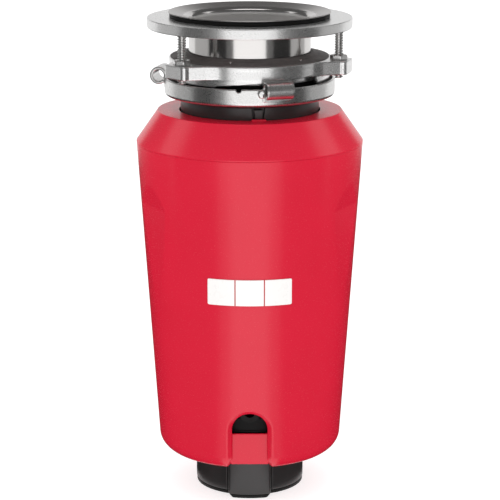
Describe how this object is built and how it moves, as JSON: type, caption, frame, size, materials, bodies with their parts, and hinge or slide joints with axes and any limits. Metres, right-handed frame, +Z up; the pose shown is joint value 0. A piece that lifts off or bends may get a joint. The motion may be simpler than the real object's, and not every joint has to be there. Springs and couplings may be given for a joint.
{
  "type": "kitchen garbage disposal",
  "caption": "Upright kitchen garbage disposal with a tapered moulded jacket, ring-and-screw sink mount, grinding chamber, motor, rear discharge elbow and foot.",
  "frame": {"origin": "centre of the foot's underside, on the grinder axis", "axes": "+Z up along the grinder axis to the sink flange, -Y the front with badge and cord slot, +X to the right seen from the front"},
  "size_m": [0.1608, 0.2177, 0.3452],
  "materials": {
    "red_shell": "fine satin moulded",
    "badge_plate": "gloss",
    "foam": "foam",
    "black_plastic": "satin moulded",
    "black_rubber": "matte",
    "grey_rubber": "matte",
    "polished_steel": "mirror polished stainless",
    "satin_cast": "satin die casting",
    "pressed_steel": "bright zinc plated",
    "raw_casting": "as cast",
    "grind_steel": "stainless, machined",
    "motor_steel": "black paint",
    "laminations": "stacked laminations",
    "ferrite": "sintered ferrite",
    "copper": "enamelled copper",
    "bronze": "sintered bronze",
    "carbon": "carbon brush",
    "circuit_board": "circuit board",
    "hopper_plastic": "glass filled plastic",
    "button_red": "gloss"
  },
  "bodies": {
    "disposer": {"outer_housing": "red_shell", "shoulder_cover": "red_shell", "badge": "badge_plate", "insulation_sleeve": "foam", "foot_pad": "black_rubber", "base_cap": "black_plastic", "base_screws": "pressed_steel", "overload_protector": "black_plastic", "reset_spring": "pressed_steel", "lower_end_bell": "motor_steel", "cord_bush": "black_rubber", "motor_can": "motor_steel", "field_magnets": "ferrite", "brush_card": "circuit_board", "brush_right": "carbon", "brush_left": "carbon", "brush_springs": "pressed_steel", "rectifier_board": "circuit_board", "through_bolts": "pressed_steel", "drain_chamber": "raw_casting", "chamber_seal": "black_rubber", "clamp_band": "pressed_steel", "discharge_gasket": "black_rubber", "discharge_flange": "pressed_steel", "discharge_screws": "pressed_steel", "hopper": "hopper_plastic", "dishwasher_inlet": "black_plastic", "inlet_plug": "black_plastic", "shredder_ring": "grind_steel", "sink_flange": "polished_steel", "sink_gasket": "black_rubber", "support_ring": "satin_cast", "ear_nuts": "pressed_steel", "upper_mounting_ring": "satin_cast", "snap_ring": "pressed_steel", "cushion_ring": "grey_rubber", "cushion_studs": "polished_steel", "mounting_cushion": "black_rubber", "neck_collar": "black_plastic", "lower_bearing": "bronze", "upper_bearing": "bronze", "thrust_washer": "bronze", "shaft_seal": "black_rubber"},
    "grinder": {"motor_shaft": "grind_steel", "armature_core": "laminations", "armature_winding": "copper", "commutator": "copper", "water_slinger": "black_rubber", "turntable": "grind_steel", "turntable_nut": "grind_steel", "impeller_rivets": "grind_steel"},
    "impeller_front": {"impeller_front": "grind_steel"},
    "impeller_rear": {"impeller_rear": "grind_steel"},
    "lower_ring": {"lower_mounting_ring": "pressed_steel"},
    "reset": {"reset_button": "button_red"},
    "jack_screw_1": {"mounting_screw_1": "pressed_steel"},
    "jack_screw_2": {"mounting_screw_2": "pressed_steel"},
    "jack_screw_3": {"mounting_screw_3": "pressed_steel"},
    "baffle": {"splash_baffle": "black_rubber"},
    "elbow": {"discharge_elbow": "black_plastic"}
  },
  "joints": [
    {"name": "grinder_spin", "type": "hinge", "parent": "disposer", "child": "grinder", "pos_m": [0, 0, 0.12], "axis": [0, 0, 1], "continuous": true},
    {"name": "impeller_front_swivel", "type": "hinge", "parent": "grinder", "child": "impeller_front", "pos_m": [0, -0.044, 0.2], "axis": [0, 0, 1], "continuous": true},
    {"name": "impeller_rear_swivel", "type": "hinge", "parent": "grinder", "child": "impeller_rear", "pos_m": [0, 0.044, 0.2], "axis": [0, 0, 1], "continuous": true},
    {"name": "lower_ring_turn", "type": "hinge", "parent": "disposer", "child": "lower_ring", "pos_m": [0, 0, 0.293], "axis": [0, 0, 1], "range_deg": [-35, 27]},
    {"name": "reset_press", "type": "slide", "parent": "disposer", "child": "reset", "axis": [0, 0, 1], "range_m": [0, 0.002], "stiffness_N_per_m": 600, "springref_m": -0.002, "deforming": ["reset_spring"]},
    {"name": "baffle_lift", "type": "slide", "parent": "disposer", "child": "baffle", "axis": [0, 0, 1], "range_m": [0, 0.08]},
    {"name": "elbow_swivel", "type": "hinge", "parent": "disposer", "child": "elbow", "pos_m": [0, 0.09, 0.1598], "axis": [0, 1, 0], "range_deg": [-90, 90]},
    {"name": "jack_screw_1_travel", "type": "slide", "parent": "disposer", "child": "jack_screw_1", "axis": [0, 0, 1], "range_m": [-0.012, 0]},
    {"name": "jack_screw_2_travel", "type": "slide", "parent": "disposer", "child": "jack_screw_2", "axis": [0, 0, 1], "range_m": [-0.012, 0]},
    {"name": "jack_screw_3_travel", "type": "slide", "parent": "disposer", "child": "jack_screw_3", "axis": [0, 0, 1], "range_m": [-0.012, 0]}
  ]
}
